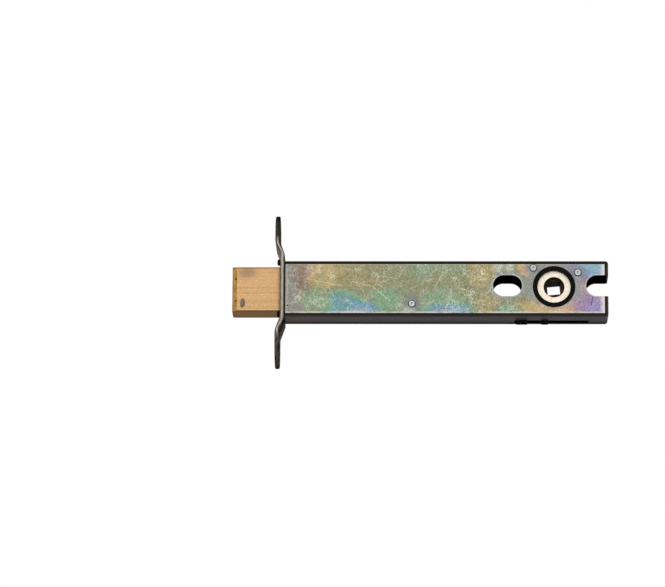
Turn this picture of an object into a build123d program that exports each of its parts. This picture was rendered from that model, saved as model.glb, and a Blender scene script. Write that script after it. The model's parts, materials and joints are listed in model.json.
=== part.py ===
from build123d import *
from math import atan2, cos, degrees, radians, sin
import os

# Tubular bathroom deadbolt: a quarter turn of a square-drive hub throws a brass bolt.
#
# Frame, in millimetres: X runs along the bolt, which is thrown towards -X. Y runs through
# the thickness of the door, and the hub turns about it. Z is up. The origin is the middle
# of the front plane of the forend, the plate that is screwed to the edge of the door.
# The bolt is modelled thrown, as far out as it goes.

# Forend: a strip with round ends, its middle set back to hide the staked tabs
FOREND_HEIGHT = 60.7
FOREND_WIDTH = 18.0
FOREND_SHEET = 1.8
FOREND_SET_BACK = 1.95
SET_BACK_RISE = 0.65
JOGGLE_MARGIN = 1.3
JOGGLE_RUN = 5.4
JOGGLE_RADIUS = 3.0
SCREW_SPACING = 45.0
SCREW_HOLE_RADIUS = 2.75

# Case: a folded tray, closed at the back by a riveted cover
BACKSET = 108.0
HUB_TO_END = 21.0
CASE_HEIGHT = 22.2
CASE_DEPTH = 13.6
CASE_SHEET = 1.0
COVER_SHEET = 1.0
COVER_EDGE_LAND = 0.2
BEND_INNER_RADIUS = 0.15
TAB_WIDTH = 1.2
TAB_INSET = 0.75
TAB_HEAD_PROUD = 1.1
TAB_HEAD_MARGIN = 0.45
TAB_HEAD_BEVEL = 0.4

# Slots for through fixings, before and behind the hub
FIXING_SLOT_WIDTH = 8.4
FIXING_SLOT_LENGTH = 11.3
FIXING_RISE = 1.1
FRONT_FIXING = 18.0
REAR_FIXING = 16.6

# Riveted pillars: the guide behind the drawn bolt, the other two either side of the hub
GUIDE_MARGIN = 9.6
GUIDE_RISE = 3.9
FRONT_SPRING_REACH = 8.0
FRONT_SPRING_DROP = 1.95
REAR_SPRING_REACH = 9.2
REAR_SPRING_DROP = 3.8
PILLAR_RADIUS = 1.6
RIVET_RADIUS = 1.1
RIVET_HEAD_RADIUS = 1.5
RIVET_HEAD_PROUD = 0.35
RIVET_HEAD_BEVEL = 0.3
RIVET_DIMPLE_RADIUS = 0.5
RIVET_DIMPLE_DEPTH = 0.2

# Hub, its nylon bushes and its detent spring
TURN = 90.0
HUB_RISE = 0.7
HUB_RECESS = 1.0
COLLAR_MARGIN = 1.2
COLLAR_THICKNESS = 0.8
WAIST_RADIUS = 5.0
DRIVE_SQUARE = 5.2
DRIVE_TILT = 5.5
COUNTERBORE_RADIUS = 4.05
COUNTERBORE_DEPTH = 1.7
CRANK_THICKNESS = 3.0
CRANK_TIP_RADIUS = 2.2
CRANK_SHANK_WIDTH = 3.2
BUSH_WALL = 1.75
BUSH_FLANGE_WIDTH = 0.8
BUSH_FLANGE_THICKNESS = 0.9
BUSH_PROUD = 0.3
BUSH_RIM_BEVEL = 0.25
SPRING_SHEET = 0.5
SPRING_EDGE_GAP = 0.2
SPRING_WRAP = 100.0
CAM_LIFT = 0.95

# Bolt: a brass head with a steel tail riveted into it
THROW = 15.0
BOLT_PROJECTION = 16.6
BOLT_LENGTH = 45.0
BOLT_EDGE_RADIUS = 0.4
NOSE_BEVEL_LENGTH = 1.8
NOSE_BEVEL_DEPTH = 0.8
TAIL_SHEET = 2.0
TAIL_OFFSET = -0.6
TAIL_SEAT_LENGTH = 14.0
TAIL_SEAT_HEIGHT = 12.0
TAIL_CORNER_RADIUS = 1.0
TAIL_RIVET_RADIUS = 1.5
TAIL_RIVET_SPACING = 6.4
FRONT_LUG_LENGTH = 4.4
REAR_LUG_LENGTH = 2.6
LUG_REACH = 3.3
LUG_PROUD = 0.8
LUG_DROP = 0.3

# Clearances
FIT_GAP = 0.05
BOLT_GAP = 0.25
BOLT_SIDE_GAP = 0.3
BOLT_TOP_GAP = 1.3
BUSH_EDGE_GAP = 0.4
RUN_GAP = 0.3
SIDE_GAP = 0.4
COLLAR_GAP = 0.2
DETENT_GAP = 0.1
LUG_PLAY = 0.5
LUG_SLOT_GAP = 0.7
OVERCUT = 1.0

# Planes that several pieces share
CASE_FRONT = FOREND_SET_BACK + FOREND_SHEET
CASE_END = BACKSET + HUB_TO_END
CASE_TOP = CASE_HEIGHT / 2
FACE = -CASE_DEPTH / 2
BACK = CASE_DEPTH / 2
INNER_FACE = FACE + CASE_SHEET
INNER_BACK = BACK - COVER_SHEET
INNER_TOP = CASE_TOP - CASE_SHEET
BEND_RADIUS = BEND_INNER_RADIUS + CASE_SHEET

# The Y and the thickness of the tabs that hold the tray and the cover to the forend
TRAY_TABS = ((FACE + INNER_FACE) / 2, CASE_SHEET)
COVER_TABS = ((INNER_BACK + BACK) / 2, COVER_SHEET)
TAB_HEIGHTS = (TAB_INSET - CASE_TOP, CASE_TOP - TAB_INSET)

BOLT_MIDDLE = (INNER_FACE + INNER_BACK) / 2
BOLT_THICKNESS = INNER_BACK - INNER_FACE - 2 * BOLT_SIDE_GAP
BOLT_HEIGHT = 2 * (INNER_TOP - BOLT_TOP_GAP)
BOLT_NEAR = BOLT_MIDDLE - BOLT_THICKNESS / 2
BOLT_FAR = BOLT_MIDDLE + BOLT_THICKNESS / 2
BOLT_NOSE = -BOLT_PROJECTION
BOLT_REAR = BOLT_NOSE + BOLT_LENGTH
TAIL_NEAR = TAIL_OFFSET - TAIL_SHEET / 2
TAIL_FAR = TAIL_OFFSET + TAIL_SHEET / 2
TAIL_LOW = -(INNER_TOP - RUN_GAP)
TAIL_HIGH = min(HUB_RISE - WAIST_RADIUS, FIXING_RISE - FIXING_SLOT_WIDTH / 2) - SIDE_GAP

CRANK_RADIUS = THROW / 2 / sin(radians(TURN / 2))
CRANK_NEAR = TAIL_FAR + SIDE_GAP
CRANK_FAR = CRANK_NEAR + CRANK_THICKNESS
FORK_X = BACKSET - THROW / 2
FORK_GAP = 2 * (CRANK_TIP_RADIUS + LUG_PLAY)
FRONT_LUG_START = FORK_X - FORK_GAP / 2 - FRONT_LUG_LENGTH
TAIL_END = FORK_X + FORK_GAP / 2 + REAR_LUG_LENGTH

BUSH_FLANGE_RADIUS = INNER_TOP - HUB_RISE - BUSH_EDGE_GAP
BUSH_RADIUS = BUSH_FLANGE_RADIUS - BUSH_FLANGE_WIDTH
HUB_RADIUS = BUSH_RADIUS - BUSH_WALL - FIT_GAP
COLLAR_RADIUS = HUB_RADIUS + COLLAR_MARGIN
CAM_NEAR = INNER_FACE + BUSH_FLANGE_THICKNESS + COLLAR_GAP + COLLAR_THICKNESS
CAM_FAR = TAIL_NEAR - SIDE_GAP

# The (along, up) place of each pillar, counted from the hub's axis
ABOVE_HUB = INNER_TOP - HUB_RISE
BELOW_HUB = INNER_TOP + HUB_RISE
GUIDE_PILLAR_AT = (BOLT_REAR + THROW + GUIDE_MARGIN - BACKSET, GUIDE_RISE - BELOW_HUB)
FRONT_SPRING_PILLAR_AT = (-FRONT_SPRING_REACH, ABOVE_HUB - FRONT_SPRING_DROP)
REAR_SPRING_PILLAR_AT = (REAR_SPRING_REACH, ABOVE_HUB - REAR_SPRING_DROP)

# The detent spring lies under its two pillars, so its slope follows theirs
SPRING_SLOPE = atan2(
    FRONT_SPRING_DROP - REAR_SPRING_DROP, FRONT_SPRING_REACH + REAR_SPRING_REACH
)
SPRING_RADIUS = PILLAR_RADIUS + FIT_GAP + SPRING_SHEET / 2
PILLAR_DISTANCE = (
    FRONT_SPRING_PILLAR_AT[1] * cos(SPRING_SLOPE)
    - FRONT_SPRING_PILLAR_AT[0] * sin(SPRING_SLOPE)
)
FLAT_DISTANCE = PILLAR_DISTANCE - SPRING_RADIUS - SPRING_SHEET / 2 - DETENT_GAP
CAM_RADIUS = FLAT_DISTANCE + CAM_LIFT


def through_y(sketch, near, far):
    """Extrude a sketch drawn in X and Z from one Y to another."""
    return extrude(Plane.XZ.offset(-far) * sketch, far - near)


def through_x(sketch, near, far):
    """Extrude a sketch drawn in Y and Z from one X to another."""
    return extrude(Plane.YZ.offset(near) * sketch, far - near)


def through_z(sketch, low, high):
    """Extrude a sketch drawn in X and Y from one Z to another."""
    return extrude(Plane.XY.offset(low) * sketch, high - low)


def area(left, low, right, high):
    """A rectangle by its corners."""
    return Pos((left + right) / 2, (low + high) / 2) * Rectangle(right - left, high - low)


def turned(points):
    """A solid turned about the Y axis from (radius, y) points."""
    return revolve(make_face(Polyline(*points, close=True)), Axis.Y)


def at_hub(along=0.0, up=0.0):
    """A place in X and Z, counted from the hub's axis."""
    return Pos(BACKSET + along, 0, HUB_RISE + up)


def make_forend():
    middle = FOREND_SET_BACK + FOREND_SHEET / 2
    ends = FOREND_SHEET / 2
    step_in = CASE_TOP + JOGGLE_MARGIN
    step_out = step_in + JOGGLE_RUN
    top = FOREND_HEIGHT / 2
    upper = [(ends, top), (ends, SET_BACK_RISE + step_out), (middle, SET_BACK_RISE + step_in)]
    lower = [(middle, SET_BACK_RISE - step_in), (ends, SET_BACK_RISE - step_out), (ends, -top)]
    path = FilletPolyline(*upper, *lower, radius=JOGGLE_RADIUS)
    strip = through_y(trace(path, FOREND_SHEET), -FOREND_WIDTH / 2, FOREND_WIDTH / 2)

    outline = SlotOverall(FOREND_HEIGHT, FOREND_WIDTH, rotation=90)
    outline -= Pos(BOLT_MIDDLE, 0) * RectangleRounded(
        BOLT_THICKNESS + 2 * BOLT_GAP, BOLT_HEIGHT + 2 * BOLT_GAP, BOLT_EDGE_RADIUS
    )
    for z in (-SCREW_SPACING / 2, SCREW_SPACING / 2):
        outline -= Pos(0, z) * Circle(SCREW_HOLE_RADIUS)
    for y, thickness in (TRAY_TABS, COVER_TABS):
        for z in TAB_HEIGHTS:
            outline -= Pos(y, z) * Rectangle(thickness + 2 * FIT_GAP, TAB_WIDTH + 2 * FIT_GAP)
    return strip & through_x(outline, -OVERCUT, CASE_FRONT + OVERCUT)


def case_block(inset, overcut):
    """The folded form of the tray, drawn in by a wall and run past its two open sides."""
    left, right = CASE_FRONT - overcut, CASE_END - inset
    top = CASE_TOP - inset
    near, far = FACE + inset, INNER_BACK + overcut
    block = through_y(area(left, -top, right, top), near, far)
    open_sides = (Plane.YZ.offset(left), Plane.XZ.offset(-far))
    bends = [
        edge
        for edge in block.edges()
        if all(abs(side.to_local_coords(edge.center()).Z) > inset / 2 + FIT_GAP for side in open_sides)
    ]
    return fillet(bends, BEND_RADIUS - inset)


def case_openings():
    """What is cut through both faces of the case, drawn in X and Z."""
    front_slot = SlotOverall(FIXING_SLOT_LENGTH, FIXING_SLOT_WIDTH)
    half = FIXING_SLOT_WIDTH / 2
    rear_slot = Circle(half) + area(0, -half, CASE_END - BACKSET, half)
    cut = Pos(BACKSET - FRONT_FIXING, FIXING_RISE) * front_slot
    cut += Pos(BACKSET + REAR_FIXING, FIXING_RISE) * rear_slot
    cut += Pos(BACKSET, HUB_RISE) * Circle(BUSH_RADIUS + FIT_GAP)
    for along, up in (GUIDE_PILLAR_AT, FRONT_SPRING_PILLAR_AT, REAR_SPRING_PILLAR_AT):
        cut += Pos(BACKSET + along, HUB_RISE + up) * Circle(RIVET_RADIUS + FIT_GAP)
    return through_y(cut, FACE - OVERCUT, BACK + OVERCUT)


def staked_tab(y, z, thickness):
    """A tab of a sheet that passes through the forend and is peened over in front of it."""
    shank = Pos(y, z) * Rectangle(thickness, TAB_WIDTH)
    head = Pos(y, z) * Rectangle(
        thickness + 2 * TAB_HEAD_MARGIN, TAB_WIDTH + 2 * TAB_HEAD_MARGIN
    )
    peened = through_x(head, FOREND_SET_BACK - TAB_HEAD_PROUD, FOREND_SET_BACK)
    peened = chamfer(peened.faces().sort_by(Axis.X)[0].edges(), TAB_HEAD_BEVEL)
    return peened + through_x(shank, FOREND_SET_BACK, CASE_FRONT)


def with_tabs(sheet, y, thickness):
    """A sheet of the case with its upper and its lower tab."""
    for z in TAB_HEIGHTS:
        sheet += staked_tab(y, z, thickness)
    return sheet


def make_case_tray():
    tray = with_tabs(case_block(0, 0) - case_block(CASE_SHEET, OVERCUT), *TRAY_TABS)
    lug_slot = area(
        FRONT_LUG_START - LUG_SLOT_GAP,
        TAIL_FAR - RUN_GAP,
        TAIL_END + THROW + LUG_SLOT_GAP,
        TAIL_FAR + LUG_REACH + LUG_SLOT_GAP,
    )
    lug_slot = fillet(lug_slot.vertices(), LUG_SLOT_GAP)
    return tray - case_openings() - through_z(lug_slot, -CASE_TOP - OVERCUT, -INNER_TOP + OVERCUT)


def make_case_cover():
    plate = area(CASE_FRONT, -CASE_TOP, CASE_END, CASE_TOP)
    plate = fillet(plate.vertices().group_by(Axis.X)[-1], BEND_RADIUS)
    cover = through_y(plate, INNER_BACK, BACK)
    rim = cover.faces().sort_by(Axis.Y)[-1].edges().sort_by(Axis.X)[1:]
    cover = chamfer(rim, COVER_SHEET - COVER_EDGE_LAND)
    return with_tabs(cover, *COVER_TABS) - case_openings()


def make_pillar(along, up):
    """A shouldered pillar between the two sheets, peened over outside each of them."""
    near, far = FACE - RIVET_HEAD_PROUD, BACK + RIVET_HEAD_PROUD
    pillar = turned(
        [
            (0, near + RIVET_DIMPLE_DEPTH),
            (RIVET_DIMPLE_RADIUS, near),
            (RIVET_HEAD_RADIUS - RIVET_HEAD_BEVEL, near),
            (RIVET_HEAD_RADIUS, FACE),
            (RIVET_RADIUS, FACE),
            (RIVET_RADIUS, INNER_FACE),
            (PILLAR_RADIUS, INNER_FACE),
            (PILLAR_RADIUS, INNER_BACK),
            (RIVET_RADIUS, INNER_BACK),
            (RIVET_RADIUS, BACK),
            (RIVET_HEAD_RADIUS, BACK),
            (RIVET_HEAD_RADIUS - RIVET_HEAD_BEVEL, far),
            (0, far),
        ]
    )
    return at_hub(along, up) * pillar


def make_bush(outer, inner, inward):
    """A flanged nylon bush from the outer to the inner face of a sheet."""
    bore = HUB_RADIUS + FIT_GAP
    rim = outer - inward * BUSH_PROUD
    end = inner + inward * BUSH_FLANGE_THICKNESS
    bush = turned(
        [
            (bore, rim),
            (BUSH_RADIUS - BUSH_RIM_BEVEL, rim),
            (BUSH_RADIUS, outer),
            (BUSH_RADIUS, inner),
            (BUSH_FLANGE_RADIUS, inner),
            (BUSH_FLANGE_RADIUS, end),
            (bore, end),
        ]
    )
    return at_hub() * bush


def make_detent_spring():
    """A leaf that presses on the hub's flats, its ends curled round the two pillars."""
    slope = degrees(SPRING_SLOPE)
    under = slope - 90
    front, rear = Vector(*FRONT_SPRING_PILLAR_AT), Vector(*REAR_SPRING_PILLAR_AT)
    front_curl = CenterArc(front, SPRING_RADIUS, under - SPRING_WRAP, SPRING_WRAP)
    rear_curl = CenterArc(rear, SPRING_RADIUS, under, SPRING_WRAP)
    path = front_curl + Line(front_curl @ 1, rear_curl @ 0) + rear_curl
    leaf = trace(path, SPRING_SHEET)
    return at_hub() * through_y(leaf, CAM_NEAR + SPRING_EDGE_GAP, CAM_FAR - SPRING_EDGE_GAP)


def make_hub():
    near, far = FACE + HUB_RECESS, BACK - HUB_RECESS
    collar_near = CAM_NEAR - COLLAR_THICKNESS
    collar_far = INNER_BACK - BUSH_FLANGE_THICKNESS - COLLAR_GAP
    steps = [
        (HUB_RADIUS, near, collar_near),
        (COLLAR_RADIUS, collar_near, CAM_NEAR),
        (CAM_RADIUS, CAM_NEAR, CAM_FAR),
        (WAIST_RADIUS, CAM_FAR, CRANK_NEAR),
        (HUB_RADIUS, CRANK_NEAR, CRANK_FAR),
        (COLLAR_RADIUS, CRANK_FAR, collar_far),
        (HUB_RADIUS, collar_far, far),
    ]
    outline = [(radius, y) for radius, start, end in steps for y in (start, end)]
    hub = turned([(0, near), *outline, (0, far)])

    arm = Pos(0, -CRANK_RADIUS / 2) * Rectangle(CRANK_SHANK_WIDTH, CRANK_RADIUS)
    arm += Pos(0, -CRANK_RADIUS) * Circle(CRANK_TIP_RADIUS)
    hub += through_y(Rot(0, 0, -TURN / 2) * arm, CRANK_NEAR, CRANK_FAR)

    outside = area(-CAM_RADIUS, FLAT_DISTANCE, CAM_RADIUS, CAM_RADIUS + OVERCUT)
    for turn in (0, -TURN):
        flat = Rot(0, 0, degrees(SPRING_SLOPE) + turn) * outside
        hub -= through_y(flat, CAM_NEAR, CAM_FAR)

    hub -= through_y(Rectangle(DRIVE_SQUARE, DRIVE_SQUARE, rotation=DRIVE_TILT), near, far)
    hub -= through_y(Circle(COUNTERBORE_RADIUS), near, near + COUNTERBORE_DEPTH)
    hub -= through_y(Circle(COUNTERBORE_RADIUS), far - COUNTERBORE_DEPTH, far)
    return at_hub() * hub


def tail_rivet_places():
    """The (x, z) middle of each rivet that holds the tail in the head."""
    x = BOLT_REAR - TAIL_SEAT_LENGTH / 2
    return {"upper": (x, TAIL_RIVET_SPACING / 2), "lower": (x, -TAIL_RIVET_SPACING / 2)}


def tail_rivet_holes():
    holes = Sketch() + [
        Pos(x, z) * Circle(TAIL_RIVET_RADIUS + FIT_GAP) for x, z in tail_rivet_places().values()
    ]
    return through_y(holes, BOLT_NEAR - OVERCUT, BOLT_FAR + OVERCUT)


def make_bolt_head():
    near_side = [
        (BOLT_REAR, BOLT_NEAR),
        (BOLT_NOSE + NOSE_BEVEL_LENGTH, BOLT_NEAR),
        (BOLT_NOSE, BOLT_NEAR + NOSE_BEVEL_DEPTH),
    ]
    far_side = [(x, BOLT_NEAR + BOLT_FAR - y) for x, y in reversed(near_side)]
    plan = make_face(Polyline(*near_side, *far_side, close=True))
    head = through_z(plan, -BOLT_HEIGHT / 2, BOLT_HEIGHT / 2)
    head = fillet(head.edges().filter_by(Axis.X), BOLT_EDGE_RADIUS)
    seat = area(BOLT_REAR - TAIL_SEAT_LENGTH, TAIL_NEAR, BOLT_REAR + OVERCUT, TAIL_FAR)
    head -= through_z(seat, -BOLT_HEIGHT / 2 - OVERCUT, BOLT_HEIGHT / 2 + OVERCUT)
    return head - tail_rivet_holes()


def make_bolt_tail():
    seat = TAIL_SEAT_HEIGHT / 2
    fixing_front = BACKSET - FRONT_FIXING - FIXING_SLOT_LENGTH / 2
    plate_end = fixing_front - THROW - SIDE_GAP - TAIL_CORNER_RADIUS
    outline = area(BOLT_REAR - TAIL_SEAT_LENGTH, -seat, plate_end, seat)
    outline += area(BOLT_REAR + SIDE_GAP, TAIL_LOW, TAIL_END, TAIL_HIGH)
    inner_corner = [v for v in outline.vertices() if abs(v.X - plate_end) < FIT_GAP and v.Y < 0]
    outline = fillet(inner_corner, TAIL_CORNER_RADIUS)

    guide_x = BACKSET + GUIDE_PILLAR_AT[0] - THROW / 2
    guide_slot = SlotCenterToCenter(THROW, 2 * (PILLAR_RADIUS + RUN_GAP))
    outline -= Pos(guide_x, HUB_RISE + GUIDE_PILLAR_AT[1]) * guide_slot
    tail = through_y(outline, TAIL_NEAR, TAIL_FAR)

    lug_low = -CASE_TOP - LUG_PROUD
    lug_high = HUB_RISE - CRANK_RADIUS * cos(radians(TURN / 2)) - LUG_DROP
    front_lug = area(FRONT_LUG_START, lug_low, FRONT_LUG_START + FRONT_LUG_LENGTH, lug_high)
    rear_lug = area(TAIL_END - REAR_LUG_LENGTH, lug_low, TAIL_END, lug_high)
    tail += through_y(front_lug + rear_lug, TAIL_FAR, TAIL_FAR + LUG_REACH)
    return tail - tail_rivet_holes()


def make_tail_rivet(x, z):
    return through_y(Pos(x, z) * Circle(TAIL_RIVET_RADIUS), BOLT_NEAR, BOLT_FAR)


def make_parts():
    parts = {
        "forend": make_forend(),
        "case_tray": make_case_tray(),
        "case_cover": make_case_cover(),
        "guide_pillar": make_pillar(*GUIDE_PILLAR_AT),
        "front_spring_pillar": make_pillar(*FRONT_SPRING_PILLAR_AT),
        "rear_spring_pillar": make_pillar(*REAR_SPRING_PILLAR_AT),
        "front_hub_bush": make_bush(FACE, INNER_FACE, 1),
        "rear_hub_bush": make_bush(BACK, INNER_BACK, -1),
        "detent_spring": make_detent_spring(),
        "hub": make_hub(),
        "bolt_head": make_bolt_head(),
        "bolt_tail": make_bolt_tail(),
    }
    for name, place in tail_rivet_places().items():
        parts[f"{name}_tail_rivet"] = make_tail_rivet(*place)
    return parts


os.makedirs("parts", exist_ok=True)
for node, shape in make_parts().items():
    export_step(shape, f"parts/{node}.step")
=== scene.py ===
import json
import math

import bmesh
import bpy
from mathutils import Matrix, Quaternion, Vector


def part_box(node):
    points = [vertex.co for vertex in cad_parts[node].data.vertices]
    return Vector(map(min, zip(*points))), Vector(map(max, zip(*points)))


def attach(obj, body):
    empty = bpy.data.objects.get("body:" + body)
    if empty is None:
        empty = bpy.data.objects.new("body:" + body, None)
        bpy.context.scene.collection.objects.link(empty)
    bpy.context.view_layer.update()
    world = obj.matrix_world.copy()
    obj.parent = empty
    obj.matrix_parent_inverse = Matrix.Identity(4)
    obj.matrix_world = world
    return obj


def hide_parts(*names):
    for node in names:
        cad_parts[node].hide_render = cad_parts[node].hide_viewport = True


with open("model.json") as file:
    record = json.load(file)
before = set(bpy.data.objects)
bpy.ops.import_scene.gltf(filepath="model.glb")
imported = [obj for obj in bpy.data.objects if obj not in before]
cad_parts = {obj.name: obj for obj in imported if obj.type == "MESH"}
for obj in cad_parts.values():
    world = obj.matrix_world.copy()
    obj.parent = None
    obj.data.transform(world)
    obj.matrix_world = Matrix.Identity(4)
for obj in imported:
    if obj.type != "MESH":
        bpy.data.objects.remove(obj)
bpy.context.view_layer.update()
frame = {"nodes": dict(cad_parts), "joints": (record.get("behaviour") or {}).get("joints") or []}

# Lengths are millimetres in the part's frame, unless a comment says otherwise; MM is one in metres
MM = 0.001


def corners(node):
    """The lowest and the highest corner of a solid."""
    return [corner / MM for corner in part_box(node)]


def middle(node):
    """The x and z of a solid's middle."""
    low, high = corners(node)
    return (low.x + high.x) / 2, (low.z + high.z) / 2


def pivot(name):
    """The x and z of a joint's pivot."""
    x, _, z = next(joint["pos_m"] for joint in frame["joints"] if joint["name"] == name)
    return x / MM, z / MM


# The case: its planes, and the flat of its face inside the bends
CASE_FRONT = corners("forend")[1].x
CASE_END = corners("case_cover")[1].x
CASE_TOP = 11.1
BACK = 6.8
FACE = -BACK
BEND = 1.45
LOWER_BEND = 1.25
FLAT_TOP = CASE_TOP - BEND
FLAT_BOTTOM = LOWER_BEND - CASE_TOP
FLAT_END = CASE_END - BEND

# How deep under the case's planes its skin ends and its inside begins
SKIN = (0.40, 0.60)

# What shows on the face: the x and z of each middle, the radii, and a length past every mark
HUB = pivot("hub_turn")
GUIDE_RIVET = middle("guide_pillar")
FRONT_RIVET = middle("front_spring_pillar")
REAR_RIVET = middle("rear_spring_pillar")
FIXING_RISE = 0.4
FRONT_FIXING = (HUB[0] - 18.0, HUB[1] + FIXING_RISE)
REAR_FIXING = (HUB[0] + 16.6, HUB[1] + FIXING_RISE)
FIXING_HALF_RUN = 1.45
FIXING_RADIUS = 4.2
RING_RADIUS = 8.2
BORE_RADIUS = 4.0
RIVET_RADIUS = 1.25
FAR = 9.0

# The forend: its round ends, and how far its middle is set back and raised, and where it steps
FOREND_RADIUS = corners("forend")[1].y
FOREND_STRAIGHT = corners("forend")[1].z - FOREND_RADIUS
FOREND_SET_BACK = 1.95
FOREND_RISE = 0.65
FOREND_STEP = (12.4, 17.8)

# The forend's rolled rim, and how its mesh is cleaned for it
RIM_MARGIN = 0.1
RIM_ROLL = 0.5
RIM_SEGMENTS = 3
WELD = 0.002
FLAT_ANGLE = math.radians(0.5)
SHARP_ANGLE = math.radians(60)
SMOOTH_ANGLE = math.radians(30)

# Camera: the photo's view, from a little below and a little to the right, in pixels and metres
PIXELS_PER_METRE = 2572.4
PICTURE = (665, 587)
ORIGIN_PIXEL = (275.58, 292.58)
CAMERA_DISTANCE = 1.76
CAMERA_DROP = math.radians(14.415)
CAMERA_SWING = math.radians(1.281)
CAMERA_ROLL = math.radians(0.344)
CAMERA_REACH = 50
SENSOR_WIDTH = 36.0

# Light and floor, in metres and watts; a lamp has a name, a place, a power and a size
WHITE_SEEN = 1.0
WHITE_CAST = 0.72
LAMPS = [
    ("key", (-0.9, -1.4, 1.1), 9.0, 1.4),
    ("fill", (1.3, -1.0, 0.4), 4.0, 1.2),
]
LAMP_AIM = Vector((0.055, 0, 0))
FLOOR_PLACE = (0.06, 0, -1.6)
FLOOR_SIZE = 12

# Colours that the zinc passivate takes as its film thickens
FILM_COLOURS = [
    (0.00, (126, 168, 186)),
    (0.08, (146, 141, 188)),
    (0.16, (152, 124, 164)),
    (0.24, (170, 140, 142)),
    (0.32, (200, 170, 134)),
    (0.40, (174, 156, 100)),
    (0.50, (139, 136, 103)),
    (0.60, (133, 157, 126)),
    (0.68, (114, 157, 122)),
    (0.78, (94, 146, 162)),
    (0.88, (140, 164, 182)),
    (0.96, (164, 160, 190)),
    (1.00, (178, 148, 172)),
]

# The film where no stain reaches, how much that weighs against a stain, and how far noise frays it
GROUND_FILM = 0.52
GROUND_WEIGHT = 0.10
FILM_FRAY = 0.26

# Stains of the film on the front face: x, z, reach along x, reach along z, film
STAINS = [
    (11.5, 7.0, 2.5, 4.0, 0.27),
    (16.0, 8.5, 3.5, 2.5, 0.32),
    (22.0, 7.5, 4.0, 3.0, 0.39),
    (18.5, 2.3, 4.0, 2.0, 0.38),
    (15.0, -4.5, 3.5, 4.5, 0.60),
    (30.0, 4.0, 6.0, 4.0, 0.47),
    (26.0, -5.0, 4.5, 3.0, 0.80),
    (34.0, -8.0, 4.0, 2.0, 0.89),
    (30.0, -9.8, 8.0, 0.9, 1.02),
    (43.0, -4.0, 4.0, 4.0, 0.68),
    (33.0, 5.2, 1.8, 3.0, 0.43),
    (41.0, 1.4, 2.5, 2.0, 0.45),
    (50.0, 3.0, 4.0, 5.0, 0.52),
    (57.0, 8.0, 4.0, 3.0, 0.62),
    (61.0, 3.0, 4.0, 3.0, 0.51),
    (65.5, -3.5, 5.0, 2.5, 0.64),
    (67.0, -9.0, 6.0, 2.0, 0.93),
    (69.0, 8.0, 5.0, 3.0, 0.57),
    (72.0, 2.5, 4.5, 4.0, 0.51),
    (79.0, 6.0, 4.0, 4.0, 0.40),
    (82.0, -6.5, 3.0, 2.5, 0.43),
    (90.5, -9.0, 3.0, 1.5, 0.66),
    (91.0, 8.5, 3.0, 2.0, 0.58),
    (97.0, 8.5, 2.5, 2.5, 0.23),
    (101.0, -8.0, 5.0, 2.5, 0.35),
    (110.0, -9.5, 3.0, 1.6, 0.32),
    (113.6, -8.0, 2.0, 2.2, 0.26),
    (113.0, 10.0, 4.0, 1.6, 0.18),
    (122.5, 8.5, 7.5, 3.5, -0.06),
    (118.0, 1.5, 2.5, 3.0, 0.21),
    (118.5, -6.5, 3.0, 4.0, 0.14),
    (123.8, -7.0, 3.2, 4.0, 0.06),
]

# Frosted places of the face: x, z and reach
FROST = [
    (9.6, -3.5, 2.4),
    (16.5, -5.4, 2.4),
    (17.0, 7.4, 2.2),
    (21.8, 4.6, 2.2),
    (28.5, -6.0, 2.6),
    (31.0, 7.0, 2.6),
    (38.2, -8.0, 2.0),
    (39.2, 5.8, 1.9),
    (43.0, 8.0, 2.2),
    (47.6, -7.0, 1.6),
    (57.8, 8.4, 2.6),
    (65.2, 6.6, 2.4),
    (62.5, -7.6, 1.8),
    (68.4, -7.0, 3.0),
    (73.0, 7.4, 2.2),
    (75.0, -1.6, 2.2),
    (78.6, -8.2, 2.0),
    (80.5, 5.8, 3.0),
    (86.0, 8.2, 2.6),
    (90.5, -8.8, 3.0),
    (91.0, 8.2, 2.2),
    (52.0, -9.2, 2.6),
    (104.0, -9.2, 2.6),
    (110.0, -9.2, 2.6),
]

# White bloom on the film: x, z and reach
BLOOM = [
    (52.0, -9.4, 2.4),
    (86.0, 8.4, 2.4),
    (90.8, 8.2, 1.8),
]

# Pale scratches on the face, each from one x and z to another
SCRATCHES = [
    (30.0, 2.6, 37.8, 0.7),
    (37.8, 0.7, 44.9, -5.4),
    (40.2, 4.9, 47.6, 3.8),
    (47.6, 3.8, 49.7, 8.1),
    (40.2, 5.0, 38.7, 1.1),
    (20.6, 0.7, 22.7, -3.2),
    (32.8, 1.1, 35.1, -3.2),
    (15.9, 2.9, 26.2, 1.0),
    (65.0, 8.7, 64.7, 5.7),
    (64.7, 5.7, 61.7, -0.2),
    (68.2, 0.1, 68.3, -3.8),
    (71.2, 0.5, 74.4, -1.1),
    (14.8, -2.3, 16.9, 2.7),
]

# Bared steel behind the forend: how far noise frays it, where the grey ends along x and how that end
# slants, where the brown veil beyond it ends along x, and the heights between which it fades in
FRONT_FRAY = 9.0
GREY_END = (9.5, 7.0)
GREY_SLANT = 0.3
VEIL_END = (15.4, 10.8)
VEIL_FOOT = (-6.0, 2.0)

# Dull steel round each rivet: its middle and reach
RIVET_HALOS = [
    (GUIDE_RIVET, 5.5),
    (FRONT_RIVET, 3.6),
    (REAR_RIVET, 5.2),
]

# One dark scratch by the open slot: its x at z = 0, its lean, the z of its middle and its half length
# with the soft ends and without; and the x and z of a speck of dirt
DARK_SCRATCH_X = 123.2
DARK_SCRATCH_LEAN = 0.12
DARK_SCRATCH_Z = -5.0
DARK_SCRATCH_HALF = (2.1, 1.7)
SPECK = (4.85, -6.85)

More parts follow.
